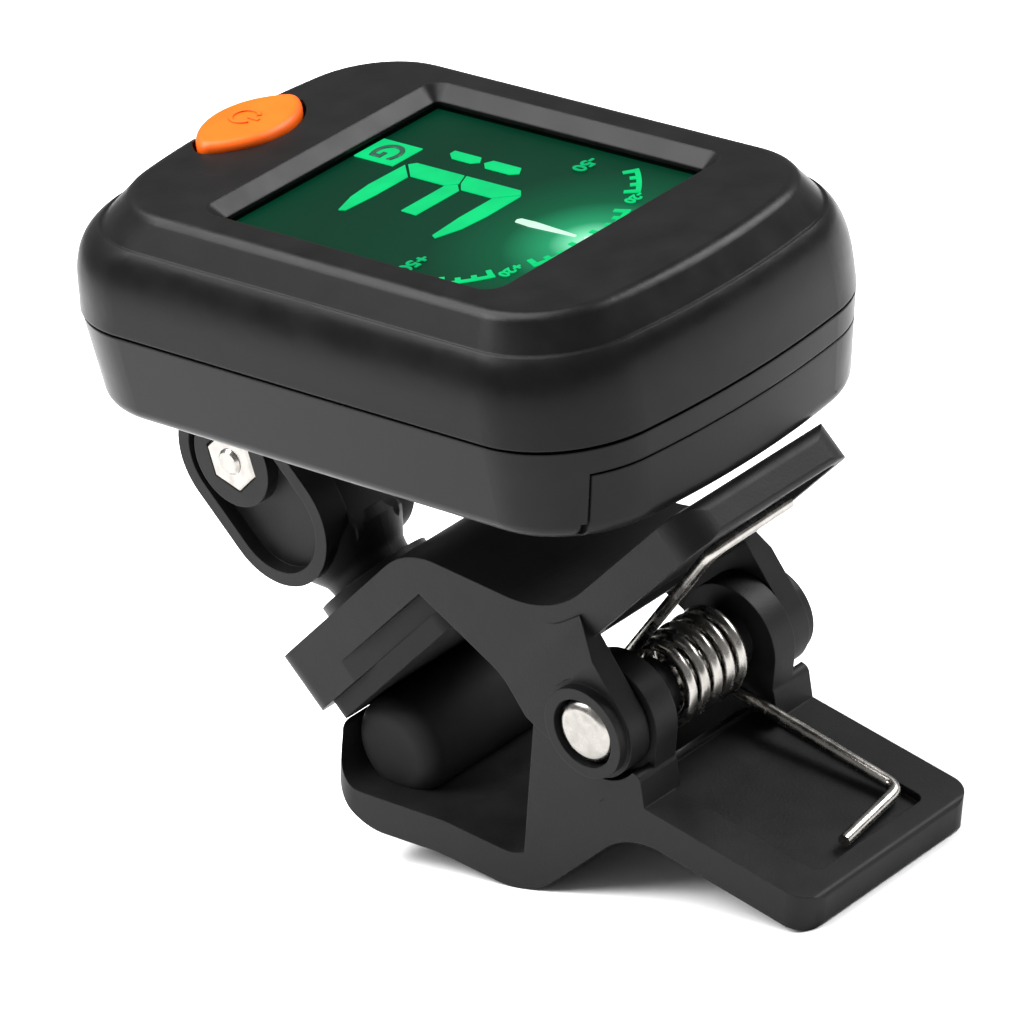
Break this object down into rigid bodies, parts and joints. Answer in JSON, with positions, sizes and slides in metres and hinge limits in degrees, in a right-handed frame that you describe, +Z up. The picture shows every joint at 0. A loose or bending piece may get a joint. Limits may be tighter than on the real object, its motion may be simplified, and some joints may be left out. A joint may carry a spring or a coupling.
{
  "type": "clip-on tuner",
  "caption": "Clip-on instrument tuner with a lit display head, power button, tilting and swivelling arm, and a sprung clip with rubber pads.",
  "frame": {"origin": "Middle of the overall box in X and Y, on the table the clip lies on.", "axes": "+Z up, +X towards the ends of the two handles, Y across the clip and along the pivot pin. The head faces up and the display reads from the +Y side towards -Y with its gauge towards +X."},
  "size_m": [0.0549, 0.033, 0.0523],
  "materials": {
    "black_plastic": "fine moulded texture, matt black",
    "satin_plastic": "satin black",
    "soft_rubber": "soft matt black",
    "orange_plastic": "satin orange",
    "clear_window": "clear and smooth",
    "display_glass": "dark green display, lit",
    "white_plastic": "milky white",
    "board": "green solder mask",
    "chip_plastic": "dull black",
    "cell_steel": "plain steel",
    "contact_brass": "plain spring brass",
    "bright_steel": "bright nickel plate"
  },
  "bodies": {
    "lower_clip": {"lower_lever": "black_plastic", "lower_pad": "soft_rubber", "pivot_pin": "bright_steel", "torsion_spring": "bright_steel"},
    "upper_clip": {"upper_lever": "black_plastic", "upper_pad": "soft_rubber"},
    "arm": {"swivel_arm": "black_plastic", "tilt_screw": "bright_steel", "tilt_nut": "bright_steel", "swivel_screw": "bright_steel", "swivel_washer": "bright_steel"},
    "head": {"front_shell": "satin_plastic", "back_shell": "satin_plastic", "window_lens": "clear_window", "lcd_panel": "display_glass", "lcd_connector": "soft_rubber", "light_guide": "white_plastic", "circuit_board": "board", "controller_chip": "chip_plastic", "switch_body": "chip_plastic", "coin_cell": "cell_steel", "contact_positive": "contact_brass", "contact_negative": "contact_brass", "piezo_disc": "contact_brass", "case_screws": "bright_steel"},
    "button": {"power_button": "orange_plastic", "switch_plunger": "chip_plastic"},
    "door": {"battery_door": "satin_plastic"}
  },
  "joints": [
    {"name": "jaw_open", "type": "hinge", "parent": "lower_clip", "child": "upper_clip", "pos_m": [0.01179, 0, 0.01358], "axis": [0, 1, 0], "range_deg": [0, 42], "stiffness_Nm_per_rad": 0.06, "springref_deg": -103.13, "deforming": ["torsion_spring"]},
    {"name": "head_swivel", "type": "hinge", "parent": "upper_clip", "child": "arm", "pos_m": [-0.01608, 0, 0.01793], "axis": [-0.5357, 0, 0.8444], "continuous": true},
    {"name": "head_tilt", "type": "hinge", "parent": "arm", "child": "head", "pos_m": [-0.0224, 0, 0.02789], "axis": [0, -1, 0], "range_deg": [0, 100]},
    {"name": "button_press", "type": "slide", "parent": "head", "child": "button", "axis": [-0.1565, 0, -0.9877], "range_m": [0, 0.0005], "stiffness_N_per_m": 2500, "springref_m": -0.0004},
    {"name": "door_slide", "type": "slide", "parent": "head", "child": "door", "axis": [0.9877, 0, -0.1565], "range_m": [0, 0.019]}
  ]
}
